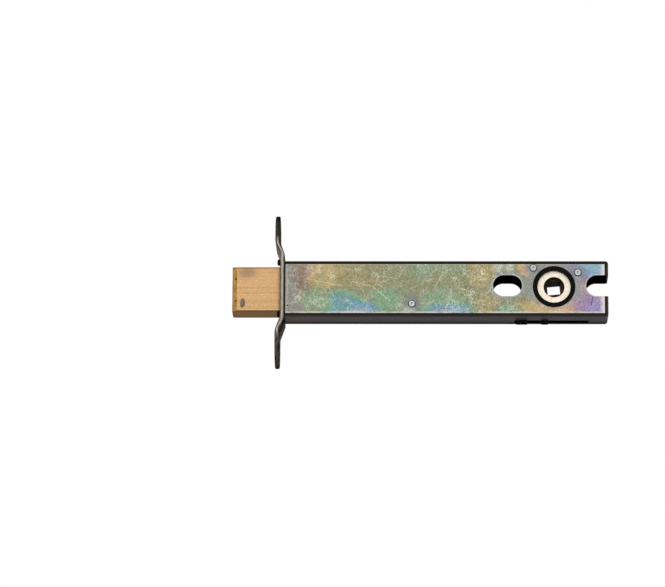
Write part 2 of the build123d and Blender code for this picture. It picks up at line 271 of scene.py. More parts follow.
# Stains on the bolt's face: x, z, reach along x, reach along z, softness, strength, colour
BRASS_STAINS = [
    (-12.6, -5.6, 0.95, 1.8, 0.30, 0.95, (90, 78, 68)),
    (-12.7, -5.4, 0.45, 0.9, 0.60, 0.45, (160, 138, 116)),
    (-10.9, 6.6, 3.2, 2.0, 0.80, 0.75, (144, 120, 98)),
]

# Nicks on its nose, each an x and z, and where the painted shade along its top and at its root begins,
# and where it is full
NOSE_NICKS = [(-15.2, 4.1), (-15.1, -4.7)]
BRASS_TOP_LINE = (8.0, 8.4)
BRASS_ROOT = (0.6, 1.8)

# Tones of the case, as they show on a screen, 0 to 255; a list runs from low to high noise
# Painted shade: near black on the case's bends and in the gap behind the forend, and black on its
# inside
PAINTED_SHADE_BLACK = (34, 33, 28)
INSIDE_SHADE_BLACK = (12, 11, 11)
HAZE = (158, 156, 138)
MOTTLE = (112, 104, 84)
VEIL_BROWN = (126, 109, 101)
STEEL_GREY = (138, 136, 129)
HALO_GREY = (139, 144, 145)
RIVET_SHADE = (120, 126, 131)
SLOT_RIM = (196, 190, 190)
SCRATCH_PALE = (224, 222, 188)
GRAIN_DARK = (62, 62, 54)
GRAIN_PALE = (230, 230, 216)
BLOOM_WHITE = (206, 207, 196)
# Painted highlights along the borders of the flat: at its end, its front, its top and its bottom
END_PALE = (216, 210, 210)
FRONT_PALE = (200, 194, 182)
BORDER_PALE = (212, 208, 198)
DIRT = (40, 32, 34)
# Painted shade makes the walls charcoal, with streaks, and darker again towards the back; the tints
# are a hint of the film
WALL_SHADE_TONES = [(0.3, (50, 48, 49)), (0.5, (66, 63, 64)), (0.72, (86, 82, 82))]
WALL_TINTS = [(0.35, (88, 64, 50)), (0.5, (60, 60, 68)), (0.65, (76, 56, 80))]
WALL_BROWN = (92, 70, 58)
WALL_REAR_SHADE = (30, 29, 30)
# Tints of the case's reflections; the darker two are painted shade, towards the back and inside
CASE_GLANCE = (206, 204, 205)
REAR_SHADE_GLANCE = (96, 94, 96)
INSIDE_SHADE_GLANCE = (20, 20, 20)

# Tones of the forend
# The forend's back takes painted shade: darker tones and a darker reflection tint
FRONT_TONES = [(0.3, (84, 81, 75)), (0.55, (104, 100, 94)), (0.75, (128, 124, 117))]
REAR_SHADE_TONES = [(0.3, (40, 35, 31)), (0.55, (54, 47, 42)), (0.75, (72, 64, 57))]
FRONT_GLANCE = (170, 166, 160)
BEHIND_SHADE_GLANCE = (116, 106, 98)
# Painted light on the forend's cut edge: shade on its ends, a highlight on its lower end, a brown
# reflection of the brass bolt, a bright highlight line, and shade by the gap
EDGE_END_SHADE_TONES = [(0.35, (38, 36, 33)), (0.6, (52, 49, 45)), (0.75, (70, 66, 60))]
EDGE_END_HIGHLIGHT = (94, 90, 82)
BRASS_REFLECTION_TONES = [(0.35, (88, 78, 64)), (0.6, (114, 100, 82))]
EDGE_HIGHLIGHT_TONES = [(0.35, (134, 132, 124)), (0.6, (172, 170, 161))]
EDGE_GAP_SHADE = (64, 66, 54)

# Tones of the bolt
BRASS_TONES = [(0.3, (188, 149, 103)), (0.5, (202, 162, 114)), (0.7, (216, 177, 128))]
BRASS_WARM = (214, 162, 118)
BRASS_DULL = (166, 130, 96)
BRASS_SPECK = (238, 202, 156)
# Painted shade on the bolt's top edge, at its root and on its rounded corners
BRASS_SHADE = (104, 78, 48)
BRASS_CORNER_SHADE = (110, 78, 46)
BRASS_GLANCE = (214, 190, 168)
# Painted shade darkens the bolt's nose bevel
NOSE_SHADE_TONES = [(0.3, (88, 62, 28)), (0.42, (134, 100, 50)), (0.7, (160, 124, 70))]
NICK = (84, 58, 24)
MILLED_TONES = [(0.3, (158, 122, 66)), (0.7, (176, 140, 82))]
ABOVE_TONES = [(0.3, (164, 128, 86)), (0.7, (190, 152, 104))]
# Painted shade on the bolt's underside
BELOW_SHADE_TONES = [(0.3, (96, 76, 62)), (0.6, (122, 100, 84)), (0.75, (146, 120, 98))]

# Tones of the hub and the small pieces
ZINC_TONES = [(0.3, (234, 218, 196)), (0.5, (246, 233, 215)), (0.75, (252, 244, 231))]
ZINC_PIT = (96, 82, 66)
ZINC_GLANCE = (90, 76, 60)
# Painted shade down in the hub's drive
BORE_SHADE_TONES = [(0.35, (20, 15, 11)), (0.55, (46, 34, 24)), (0.72, (92, 74, 54))]
RIVET_TONES = [(0.3, (160, 161, 160)), (0.5, (196, 197, 196)), (0.72, (224, 224, 222))]
RIVET_DIMPLE = (146, 148, 152)
# Painted shade on the rivets' rims
RIVET_RIM_SHADE = (62, 64, 70)
NYLON_TONES = [(0.3, (6, 6, 5)), (0.7, (14, 14, 11))]
SPRING_TONES = [(0.3, (70, 72, 84)), (0.5, (104, 100, 98)), (0.7, (120, 104, 84))]
TAIL_TONES = [(0.3, (24, 23, 22)), (0.6, (44, 42, 40)), (0.75, (66, 62, 58))]
TAIL_GLANCE = (60, 58, 56)
FLOOR_TONES = [(0.3, (228, 228, 227)), (0.7, (236, 236, 235))]
WHITE = (255, 255, 255)


def linear(red, green, blue):
    """A colour as it shows on a screen, 0 to 255, as the light that a shader works in."""
    shares = [value / 255 for value in (red, green, blue)]
    return [s / 12.92 if s <= 0.04045 else ((s + 0.055) / 1.055) ** 2.4 for s in shares]


class Paint:
    """One material, with a short way to write its nodes. Lengths in it are millimetres."""

    def __init__(self, name, metallic, glance=WHITE):
        self.material = bpy.data.materials.new(name)
        self.material.use_nodes = True
        self.tree = self.material.node_tree
        self.shader = self.tree.nodes["Principled BSDF"]
        self.shader.inputs["Metallic"].default_value = metallic
        self.shader.inputs["Specular Tint"].default_value = (*linear(*glance), 1.0)
        coordinates = self.tree.nodes.new("ShaderNodeTexCoord")
        self.place = self.scaled(coordinates.outputs["Object"], 1 / MM)
        self.x, self.y, self.z = self.split(self.place)
        self.facing_x, self.facing_y, self.facing_z = self.split(coordinates.outputs["Normal"])

    def feed(self, socket, value):
        if isinstance(value, bpy.types.NodeSocket):
            self.tree.links.new(value, socket)
        elif value is not None:
            socket.default_value = value

    def fill(self, made, values, output=0):
        for socket, value in zip(made.inputs, values):
            self.feed(socket, value)
        return made.outputs[output]

    def split(self, vector):
        made = self.tree.nodes.new("ShaderNodeSeparateXYZ")
        self.feed(made.inputs[0], vector)
        return made.outputs

    def join(self, x, y, z):
        return self.fill(self.tree.nodes.new("ShaderNodeCombineXYZ"), (x, y, z))

    def math(self, operation, *values):
        made = self.tree.nodes.new("ShaderNodeMath")
        made.operation = operation
        return self.fill(made, values)

    def vector(self, operation, *values):
        made = self.tree.nodes.new("ShaderNodeVectorMath")
        made.operation = operation
        return self.fill(made, values, 1 if operation in ("DOT_PRODUCT", "LENGTH") else 0)

    def scaled(self, vector, factor):
        return self.vector("SCALE", vector, None, None, factor)

    def step(self, value, start, end):
        """0 up to start and 1 from end on, smoothly between; start may be the larger."""
        made = self.tree.nodes.new("ShaderNodeMapRange")
        made.interpolation_type = "SMOOTHSTEP"
        if start < end:
            return self.fill(made, (value, start, end, 0.0, 1.0))
        return self.fill(made, (value, end, start, 1.0, 0.0))

    def noise(self, scale, detail=3.0, roughness=0.55, output=0):
        """Noise of so many lumps per millimetre; scale may be one number or three."""
        made = self.tree.nodes.new("ShaderNodeTexNoise")
        stretch = scale if isinstance(scale, tuple) else (scale, scale, scale)
        self.feed(made.inputs["Vector"], self.vector("MULTIPLY", self.place, stretch))
        made.inputs["Scale"].default_value = 1.0
        made.inputs["Detail"].default_value = detail
        made.inputs["Roughness"].default_value = roughness
        return made.outputs[output]

    def fray(self, amount, scale, detail=3.0, roughness=0.55):
        """Noise to either side of zero, for ragged edges."""
        level = self.math("SUBTRACT", self.noise(scale, detail, roughness), 0.5)
        return self.math("MULTIPLY", level, amount)

    def warp(self, scale, amount):
        """The place, shifted about by noise, by up to an amount each way."""
        shift = self.vector("SUBTRACT", self.noise(scale, 4.0, output=1), (0.5, 0.5, 0.5))
        return self.vector("ADD", self.place, self.scaled(shift, 2 * amount))

    def cracks(self, scale, where):
        """How far a point lies from the edges of a net of cells."""
        made = self.tree.nodes.new("ShaderNodeTexVoronoi")
        made.feature = "DISTANCE_TO_EDGE"
        self.feed(made.inputs["Vector"], where)
        made.inputs["Scale"].default_value = scale
        return made.outputs["Distance"]

    def ramp(self, value, stops):
        made = self.tree.nodes.new("ShaderNodeValToRGB")
        elements = made.color_ramp.elements
        while len(elements) < len(stops):
            elements.new(1.0)
        for element, (position, colour) in zip(elements, stops):
            element.position = position
            element.color = (*linear(*colour), 1.0)
        self.feed(made.inputs[0], value)
        return made.outputs[0]

    def mix(self, factor, first, second):
        made = self.tree.nodes.new("ShaderNodeMix")
        made.data_type = "RGBA"
        self.feed(made.inputs[0], factor)
        for socket, value in ((made.inputs[6], first), (made.inputs[7], second)):
            self.feed(socket, (*linear(*value), 1.0) if isinstance(value, tuple) else value)
        return made.outputs[2]

    def lay(self, colour, tone, mask, strength=None):
        """A tone laid over a colour as far as a mask says, times a strength where one is given."""
        share = mask if strength is None else self.math("MULTIPLY", mask, strength)
        return self.mix(share, colour, tone)

    def finish(self, colour, roughness, height=None, depth=0.05):
        """Give the shader its colour, a range of roughness and bumps of so many millimetres."""
        self.feed(self.shader.inputs["Base Color"], colour)
        made = self.tree.nodes.new("ShaderNodeMapRange")
        grain = self.noise(1.7, 4.0)
        self.feed(self.shader.inputs["Roughness"], self.fill(made, (grain, 0.3, 0.7, *roughness)))
        if height is not None:
            bump = self.tree.nodes.new("ShaderNodeBump")
            bump.inputs["Distance"].default_value = depth * MM
            self.feed(bump.inputs["Height"], height)
            self.feed(self.shader.inputs["Normal"], bump.outputs[0])
        return self.material


def in_reaches(paint, where, x, z, reach_x, reach_z):
    """How a point lies from a stain's middle, counted in the stain's reaches."""
    scale = (1 / reach_x, 0.0, 1 / reach_z)
    return paint.vector("MULTIPLY_ADD", where, scale, (-x / reach_x, 0.0, -z / reach_z))


def away_from(paint, along, place, run=0.0):
    """How far a point of the face lies from a place, or from a level run either side of it."""
    level = paint.math("ABSOLUTE", paint.math("SUBTRACT", along, place[0]))
    level = paint.math("MAXIMUM", paint.math("SUBTRACT", level, run), 0.0)
    return paint.vector("LENGTH", paint.join(level, paint.math("SUBTRACT", paint.z, place[1]), 0.0))


def from_rear_slot(paint):
    """How far a point of the face lies from the middle of the slot that is open at the end."""
    level = paint.math("MINIMUM", paint.math("SUBTRACT", paint.x, REAR_FIXING[0]), 0.0)
    up = paint.math("SUBTRACT", paint.z, REAR_FIXING[1])
    return paint.vector("LENGTH", paint.join(level, up, 0.0))


def film_thickness(paint, along):
    """The passivate's film: each stain weighs most at its middle, and noise frays them all."""
    ragged_x, _, ragged_z = paint.split(paint.warp(0.3, 2.0))
    shift = paint.math("SUBTRACT", ragged_x, paint.x)
    flat = paint.join(paint.math("ADD", along, shift), 0.0, ragged_z)
    weights = GROUND_WEIGHT
    films = GROUND_WEIGHT * GROUND_FILM
    for *place_and_reach, film in STAINS:
        offset = in_reaches(paint, flat, *place_and_reach)
        weight = paint.math("POWER", math.exp(-1), paint.vector("DOT_PRODUCT", offset, offset))
        weights = paint.math("ADD", weights, weight)
        films = paint.math("MULTIPLY_ADD", weight, film, films)
    fray = paint.fray(FILM_FRAY, 0.8, 6.0, 0.7)
    return paint.math("ADD", fray, paint.math("DIVIDE", films, weights))


def bared_front(paint, colour):
    """Grey steel behind the forend, with a ragged end and a brown veil over the film beyond it."""
    frayed = paint.math("ADD", paint.x, paint.fray(FRONT_FRAY, 0.45, 5.0, 0.7))
    veil = paint.math("MULTIPLY", paint.step(frayed, *VEIL_END), paint.step(paint.z, *VEIL_FOOT))
    colour = paint.lay(colour, VEIL_BROWN, veil, 0.85)
    slanted = paint.math("MULTIPLY_ADD", paint.z, GREY_SLANT, frayed)
    return paint.lay(colour, STEEL_GREY, paint.step(slanted, *GREY_END))


def bared_openings(paint, colour):
    """Grey steel round the hub, the closed slot and the rivets, and a bright rim on both slots."""
    to_slot = away_from(paint, paint.x, FRONT_FIXING, FIXING_HALF_RUN)
    to_hub = away_from(paint, paint.x, HUB)
    wide = paint.step(to_hub, RING_RADIUS + 6.0, RING_RADIUS + 1.0)
    wide = paint.math("MULTIPLY", wide, paint.math("MULTIPLY", paint.step(paint.z, -7.5, -3.0), 0.9))
    near = paint.step(to_hub, RING_RADIUS + 1.6, RING_RADIUS - 0.6)
    halo = paint.step(to_slot, FIXING_RADIUS + 2.6, FIXING_RADIUS)
    halo = paint.math("MAXIMUM", halo, paint.math("MAXIMUM", wide, near))
    colour = paint.lay(colour, HALO_GREY, halo, 0.8)
    for rivet, reach in RIVET_HALOS:
        round_rivet = paint.step(away_from(paint, paint.x, rivet), reach, RIVET_RADIUS - 0.05)
        colour = paint.lay(colour, RIVET_SHADE, round_rivet, 0.8)
    to_rim = paint.math("MINIMUM", to_slot, from_rear_slot(paint))
    rim = paint.step(to_rim, FIXING_RADIUS + 0.6, FIXING_RADIUS + 0.2)
    return paint.lay(colour, SLOT_RIM, rim, 0.6)


def patch(paint, along, x, z, reach):
    """1 at a place on the face, fading to 0 a little past its reach."""
    return paint.step(away_from(paint, along, (x, z)), 1.4 * reach, 0.2 * reach)


def frost_clusters(paint, along):
    """How thickly the pale grains lie: at random, more on the rear half, most on frosted places."""
    clusters = paint.step(paint.noise(0.28, 4.0, 0.6), 0.42, 0.62)
    clusters = paint.math("MULTIPLY_ADD", clusters, 0.25, 0.04)
    clusters = paint.math("MULTIPLY_ADD", paint.step(along, 60.0, 76.0), 0.2, clusters)
    for place in FROST:
        clusters = paint.math("MULTIPLY_ADD", patch(paint, along, *place), 0.5, clusters)
    return clusters


def frost(paint, along, colour):
    """Crystals of the zinc: dark and pale grains, clustered, fainter near the hub, and white bloom."""
    grain = paint.noise(2.1, 2.0, 0.6)
    calm = paint.math("MULTIPLY_ADD", paint.step(along, 84.0, 104.0), -0.35, 1.0)
    dark = paint.math("MULTIPLY", paint.step(grain, 0.50, 0.34), 0.36)
    colour = paint.lay(colour, GRAIN_DARK, dark, calm)
    for place in BLOOM:
        colour = paint.lay(colour, BLOOM_WHITE, patch(paint, along, *place), 0.42)
    clusters = frost_clusters(paint, along)
    pale = paint.math("MULTIPLY", paint.step(grain, 0.54, 0.68), clusters)
    threads = paint.step(paint.cracks(0.7, paint.warp(0.8, 1.1)), 0.10, 0.02)
    threads = paint.math("MULTIPLY", threads, paint.step(paint.noise(0.5, 3.0), 0.46, 0.60))
    threads = paint.math("MULTIPLY", threads, paint.math("MULTIPLY_ADD", clusters, 0.75, 0.12))
    return paint.lay(colour, GRAIN_PALE, paint.math("MAXIMUM", pale, threads), calm)


def to_scratch(paint, along):
    """How far a point of the face lies from the nearest of the long scratches."""
    shift = paint.vector("SUBTRACT", paint.warp(0.5, 0.35), paint.place)
    place = paint.vector("ADD", paint.join(along, 0.0, paint.z), shift)
    place = paint.vector("MULTIPLY", place, (1.0, 0.0, 1.0))
    nearest = FAR
    for x, z, end_x, end_z in SCRATCHES:
        run = Vector((end_x - x, 0.0, end_z - z))
        offset = paint.vector("SUBTRACT", place, (x, 0.0, z))
        share = paint.vector("DOT_PRODUCT", offset, tuple(run / run.length_squared))
        share = paint.math("MINIMUM", paint.math("MAXIMUM", share, 0.0), 1.0)
        foot = paint.scaled(tuple(run), share)
        off = paint.vector("LENGTH", paint.vector("SUBTRACT", offset, foot))
        nearest = paint.math("MINIMUM", nearest, off)
    return nearest


def scratches(paint, along, colour):
    """Pale hairlines: the long ones, broken here and there, and a faint net of short ones."""
    lines = paint.step(to_scratch(paint, along), 0.20, 0.04)
    lines = paint.math("MULTIPLY", lines, paint.step(paint.noise(0.9, 3.0), 0.36, 0.54))
    net = paint.step(paint.cracks(0.3, paint.warp(0.5, 1.6)), 0.04, 0.01)
    net = paint.math("MULTIPLY", net, paint.step(paint.noise(0.22, 3.0), 0.5, 0.66))
    net = paint.math("MULTIPLY", net, paint.step(along, 95.0, 75.0))
    lines = paint.math("MULTIPLY", lines, 0.6)
    net = paint.math("MULTIPLY", net, 0.45)
    return paint.lay(colour, SCRATCH_PALE, paint.math("MAXIMUM", lines, net))


def border_highlights_and_bend_shade(paint, colour):
    """Painted highlights along the borders of the flat, widest at the end, and near black painted
    shade on the bends beyond it.
    """
    fray = paint.fray(2.2, 0.9)
    to_end = paint.math("SUBTRACT", FLAT_END, paint.x)
    to_front = paint.math("SUBTRACT", paint.x, CASE_FRONT)
    to_top = paint.math("SUBTRACT", FLAT_TOP, paint.z)
    to_bottom = paint.math("SUBTRACT", paint.z, FLAT_BOTTOM)
    # Painted highlights: pale lines along the end, the front, the top and the bottom of the flat, the
    # bottom one broken up by noise
    end = paint.step(paint.math("ADD", fray, to_end), 2.4, 0.3)
    colour = paint.lay(colour, END_PALE, end, 0.9)
    front = paint.step(paint.math("ADD", fray, to_front), 1.5, 0.8)
    colour = paint.lay(colour, FRONT_PALE, front, 0.5)
    patchy = paint.step(paint.noise((0.3, 1.0, 1.0), 4.0), 0.32, 0.56)
    patchy = paint.math("MULTIPLY", patchy, 0.7)
    top = paint.math("MULTIPLY", paint.step(to_top, 0.5, 0.1), 0.25)
    bottom = paint.math("MULTIPLY", paint.step(to_bottom, 1.0, 0.2), patchy)
    colour = paint.lay(colour, BORDER_PALE, paint.math("MAXIMUM", top, bottom))
    # Painted shade beyond the flat, on the bends
    off_flat = paint.math("MINIMUM", to_end, paint.math("MINIMUM", to_top, to_bottom))
    return paint.lay(colour, PAINTED_SHADE_BLACK, paint.step(off_flat, 0.08, -0.08))


def marks_and_gap_shade(paint, colour):
    """Painted shade as a black line in the gap behind the forend, a dark scratch by the open slot and
    a speck of dirt.
    """
    # Painted shade: a black line in the gap where the case meets the forend
    to_front = paint.math("SUBTRACT", paint.x, CASE_FRONT)
    colour = paint.lay(colour, PAINTED_SHADE_BLACK, paint.step(to_front, 0.35, 0.15))
    leaning = paint.math("MULTIPLY_ADD", paint.z, DARK_SCRATCH_LEAN, DARK_SCRATCH_X)
    off = paint.math("ABSOLUTE", paint.math("SUBTRACT", paint.x, leaning))
    up = paint.math("ABSOLUTE", paint.math("SUBTRACT", paint.z, DARK_SCRATCH_Z))
    scratch = paint.math("MULTIPLY", paint.step(off, 0.2, 0.06), paint.step(up, *DARK_SCRATCH_HALF))
    speck = paint.step(away_from(paint, paint.x, SPECK), 0.42, 0.2)
    return paint.lay(colour, DIRT, paint.math("MAXIMUM", scratch, speck))


def face_colour(paint, along):
    """The iridescent flat of the case."""
    colour = paint.ramp(film_thickness(paint, along), FILM_COLOURS)
    veiled = paint.math("MULTIPLY_ADD", paint.step(along, 92.0, 112.0), -0.3, 0.35)
    haze = paint.step(paint.noise(0.35, 5.0, 0.65), 0.42, 0.70)
    colour = paint.lay(colour, HAZE, haze, veiled)
    mottle = paint.step(paint.noise(0.3, 5.0, 0.65), 0.50, 0.34)
    colour = paint.lay(colour, MOTTLE, mottle, veiled)
    colour = bared_openings(paint, bared_front(paint, colour))
    colour = scratches(paint, along, frost(paint, along, colour))
    return marks_and_gap_shade(paint, border_highlights_and_bend_shade(paint, colour))


def wall_colour(paint):
    """The walls, charcoal by painted shade, with long streaks and a hint of the film, brown in front,
    and darker towards the back by more painted shade.
    """
    colour = paint.ramp(paint.noise((0.05, 0.9, 0.9), 5.0, 0.65), WALL_SHADE_TONES)
    colour = paint.mix(0.35, colour, paint.ramp(paint.noise(0.09, 3.0), WALL_TINTS))
    colour = paint.lay(colour, WALL_BROWN, paint.step(paint.x, 20.0, 7.0), 0.5)
    return paint.lay(colour, WALL_REAR_SHADE, paint.step(paint.y, BACK - 6.3, BACK - 0.3))


def off_skin(paint):
    """1 where a point doesn't lie on the outer skin of the case, as on its tabs and its inside."""
    to_face = paint.math("SUBTRACT", paint.y, FACE)
    to_back = paint.math("SUBTRACT", BACK, paint.y)
    to_wall = paint.math("SUBTRACT", CASE_TOP, paint.math("ABSOLUTE", paint.z))
    to_end = paint.math("SUBTRACT", CASE_END, paint.x)
    depth = paint.math("MINIMUM", to_face, to_back)
    depth = paint.math("MINIMUM", depth, to_wall)
    depth = paint.math("MINIMUM", depth, to_end)
    tab = paint.step(paint.x, CASE_FRONT, CASE_FRONT - 0.1)
    return paint.math("MAXIMUM", paint.step(depth, *SKIN), tab)


def passivated(name, outward, mirrored):
    """Folded sheet: iridescent on its flat; painted shade makes its bends near black, its walls
    charcoal and its inside black, and dims its reflections towards the back and inside.
    """
    paint = Paint(name, 1.0)
    along = paint.math("SUBTRACT", CASE_FRONT + CASE_END, paint.x) if mirrored else paint.x
    outer = paint.math("MULTIPLY", paint.facing_y, outward)
    # Painted shade: near black on the bends and on a band along the top of the flat
    high = paint.step(paint.z, FLAT_TOP - 0.65, FLAT_TOP - 0.15)
    upper = paint.math("MULTIPLY", high, paint.step(outer, 0.2, 0.45))
    bend = paint.math("MAXIMUM", paint.step(outer, 0.76, 0.95), upper)
    colour = paint.lay(wall_colour(paint), PAINTED_SHADE_BLACK, bend)
    colour = paint.lay(colour, face_colour(paint, along), paint.step(outer, 0.97, 0.99))
    # Painted shade: black over the case's inside and its tabs
    inside = off_skin(paint)
    colour = paint.lay(colour, INSIDE_SHADE_BLACK, inside)
    # Painted shade in the reflections: dimmer towards the back, and near black inside
    rear = paint.math("MULTIPLY", paint.step(paint.y, -1.5, 5.5), paint.step(outer, 0.6, 0.3))
    glance = paint.lay(CASE_GLANCE, REAR_SHADE_GLANCE, rear, 0.4)
    glance = paint.lay(glance, INSIDE_SHADE_GLANCE, inside)
    paint.feed(paint.shader.inputs["Specular Tint"], glance)
    return paint.finish(colour, (0.34, 0.52), paint.noise(1.1, 6.0, 0.7), 0.03)


def forend_edge(paint):
    """The cut edge, in painted light: painted shade on its ends with a painted highlight on the lower
    end, a brown painted reflection of the bolt at the rolled front, a painted highlight in the middle
    and painted shade behind.
    """
    rise = paint.math("ABSOLUTE", paint.math("SUBTRACT", paint.z, FOREND_RISE))
    stepped = paint.math("MULTIPLY", paint.step(rise, *FOREND_STEP), -FOREND_SET_BACK)
    depth = paint.math("SUBTRACT", paint.math("SUBTRACT", paint.x, FOREND_SET_BACK), stepped)
    patchy = paint.noise((1.6, 1.0, 0.4), 4.0)
    # Painted highlight: a soft light stripe on the lower end
    end_highlight = paint.math("MULTIPLY", paint.step(paint.z, -15.0, -21.0), paint.step(patchy, 0.35, 0.55))
    ends = paint.lay(paint.ramp(patchy, EDGE_END_SHADE_TONES), EDGE_END_HIGHLIGHT, end_highlight, 0.75)
    straight = paint.step(rise, 20.5, 17.5)
    set_back = paint.step(rise, 17.0, 12.0)
    # Painted reflection of the brass bolt on the front of the edge
    colour = paint.lay(ends, paint.ramp(patchy, BRASS_REFLECTION_TONES), set_back)
    # Painted highlight along the middle of the edge, and painted shade behind it at the gap
    bright = paint.math("MULTIPLY", paint.step(depth, 0.45, 0.7), paint.step(depth, 1.35, 1.15))
    colour = paint.lay(colour, paint.ramp(patchy, EDGE_HIGHLIGHT_TONES), bright, straight)
    return paint.lay(colour, EDGE_GAP_SHADE, paint.step(depth, 1.25, 1.45), set_back)


def forend_steel():
    """Dark satin steel, its front paler than its back, which is darkened by painted shade, and painted
    light along its cut edge.
    """
    paint = Paint("forend_steel", 1.0)
    brushed = paint.noise((2.0, 0.12, 2.6), 5.0, 0.65)
    # Painted shade: darker tones and darker reflections on the back of the forend
    behind = paint.step(paint.facing_x, -0.3, 0.3)
    colour = paint.lay(paint.ramp(brushed, FRONT_TONES), paint.ramp(brushed, REAR_SHADE_TONES), behind)
    paint.feed(paint.shader.inputs["Specular Tint"], paint.lay(FRONT_GLANCE, BEHIND_SHADE_GLANCE, behind))
    sideways = paint.step(paint.math("ABSOLUTE", paint.facing_y), 0.35, 0.6)
    not_level = paint.step(paint.math("ABSOLUTE", paint.facing_x), 0.6, 0.35)
    edge = paint.math("MAXIMUM", sideways, not_level)
    colour = paint.lay(colour, forend_edge(paint), edge)
    return paint.finish(colour, (0.3, 0.46), brushed, 0.015)


def rivet_steel():
    """Bright peened ends with a darker dimple in the middle and painted shade on the rim."""
    paint = Paint("rivet_steel", 1.0)
    hammered = paint.noise(3.2, 4.0)
    away = FAR
    for place in (GUIDE_RIVET, FRONT_RIVET, REAR_RIVET):
        away = paint.math("MINIMUM", away, away_from(paint, paint.x, place))
    colour = paint.ramp(hammered, RIVET_TONES)
    colour = paint.lay(colour, RIVET_DIMPLE, paint.step(away, 0.62, 0.42))
    # Painted shade round the rim
    colour = paint.lay(colour, RIVET_RIM_SHADE, paint.step(away, RIVET_RADIUS - 0.2, RIVET_RADIUS))
    return paint.finish(colour, (0.26, 0.42), hammered, 0.03)


def black_nylon():
    """Moulded satin plastic."""
    paint = Paint("black_nylon", 0.0)
    paint.shader.inputs["Specular IOR Level"].default_value = 0.06
    grain = paint.noise(4.0, 4.0)
    return paint.finish(paint.ramp(grain, NYLON_TONES), (0.42, 0.58), grain, 0.02)


def spring_steel():
    """Tempered strip, blued in bands."""
    paint = Paint("spring_steel", 1.0)
    bands = paint.noise((0.5, 0.2, 0.5), 4.0)
    return paint.finish(paint.ramp(bands, SPRING_TONES), (0.25, 0.4), bands, 0.01)


def cast_zinc():
    """Pale die-cast metal with small pits, and painted shade down in the drive."""
    paint = Paint("cast_zinc", 0.9, ZINC_GLANCE)
    mottle = paint.noise(1.3, 4.0)
    pits = paint.step(paint.noise(1.9, 2.0), 0.365, 0.31)
    colour = paint.lay(paint.ramp(mottle, ZINC_TONES), ZINC_PIT, pits)
    # Painted shade inside the bore
    bore = paint.step(away_from(paint, paint.x, HUB), BORE_RADIUS + 0.12, BORE_RADIUS)
    shade = paint.ramp(paint.noise((2.5, 0.3, 2.5), 4.0), BORE_SHADE_TONES)
    return paint.finish(paint.lay(colour, shade, bore), (0.32, 0.5), mottle, 0.03)


def brass_stains(paint, colour):
    """A grey oval stain low on the nose, paler in its middle, and a soft smudge above it."""
    fray = paint.fray(1.1, 1.1, 4.0)
    for x, z, reach_x, reach_z, edge, strength, tone in BRASS_STAINS:
        offset = in_reaches(paint, paint.place, x, z, reach_x, reach_z)
        off = paint.math("ADD", paint.vector("LENGTH", offset), fray)
        colour = paint.lay(colour, tone, paint.step(off, 1.0 + edge, 1.0 - edge), strength)
    return colour


def brass_sides(paint, lines):
    """The bolt's two broad sides: drawn lines, dull and bright flecks, stains, and painted shade along
    the top and at the root.
    """
    colour = paint.ramp(lines, BRASS_TONES)
    warm = paint.step(paint.noise(0.32, 5.0, 0.65), 0.45, 0.65)
    colour = paint.lay(colour, BRASS_WARM, warm, 0.4)
    dull = paint.step(paint.noise(1.3, 4.0, 0.75), 0.50, 0.66)
    colour = paint.lay(colour, BRASS_DULL, dull, 0.5)
    specks = paint.step(paint.noise(1.6, 3.0, 0.7), 0.54, 0.66)
    colour = brass_stains(paint, paint.lay(colour, BRASS_SPECK, specks, 0.45))
    # Painted shade along the top edge and at the root where the bolt goes into the forend
    top = paint.math("MULTIPLY", paint.step(paint.z, *BRASS_TOP_LINE), 0.6)
    root = paint.math("MULTIPLY", paint.step(paint.x, *BRASS_ROOT), 0.55)
    return paint.lay(colour, BRASS_SHADE, paint.math("MAXIMUM", top, root))


def brass_nose(paint):
    """The bolt's nose: an ochre, nicked bevel, darkened by painted shade, and a milled end."""
    # Painted shade: dark ochre tones on the bevel
    colour = paint.ramp(paint.noise((0.9, 0.9, 0.45), 5.0, 0.7), NOSE_SHADE_TONES)
    for place in NOSE_NICKS:
        colour = paint.lay(colour, NICK, paint.step(away_from(paint, paint.x, place), 0.7, 0.25))
    milled = paint.ramp(paint.noise((1.0, 0.04, 3.0), 2.0, 0.5), MILLED_TONES)
    return paint.lay(colour, milled, paint.step(paint.facing_x, -0.9, -0.98))


def bolt_brass():
    """Drawn brass: fine lines along the bolt, an ochre nose, and painted shade on its rounded corners
    and its underside.
    """
    paint = Paint("bolt_brass", 1.0, BRASS_GLANCE)
    lines = paint.noise((0.012, 1.5, 2.6), 2.0, 0.5)
    colour = brass_sides(paint, lines)
    colour = paint.lay(colour, brass_nose(paint), paint.step(paint.facing_x, -0.2, -0.35))
    upright = paint.math("ABSOLUTE", paint.facing_z)
    # Painted shade on the rounded corners between the sides and the top and underside
    colour = paint.lay(colour, BRASS_CORNER_SHADE, paint.step(upright, 0.2, 0.4))
    drawn = paint.noise((0.02, 1.6, 1.6), 2.0, 0.5)
    # Painted shade on the underside; the top is a little duller than the sides
    above = paint.step(paint.facing_z, -0.5, 0.5)
    level = paint.lay(paint.ramp(drawn, BELOW_SHADE_TONES), paint.ramp(drawn, ABOVE_TONES), above)
    colour = paint.lay(colour, level, paint.step(upright, 0.9, 0.99))
    return paint.finish(colour, (0.25, 0.38), lines, 0.0006)


def tail_steel():
    """Pressed steel, dark with oil."""
    paint = Paint("tail_steel", 1.0, TAIL_GLANCE)
    oil = paint.noise(0.5, 5.0)
    return paint.finish(paint.ramp(oil, TAIL_TONES), (0.28, 0.45), oil, 0.02)


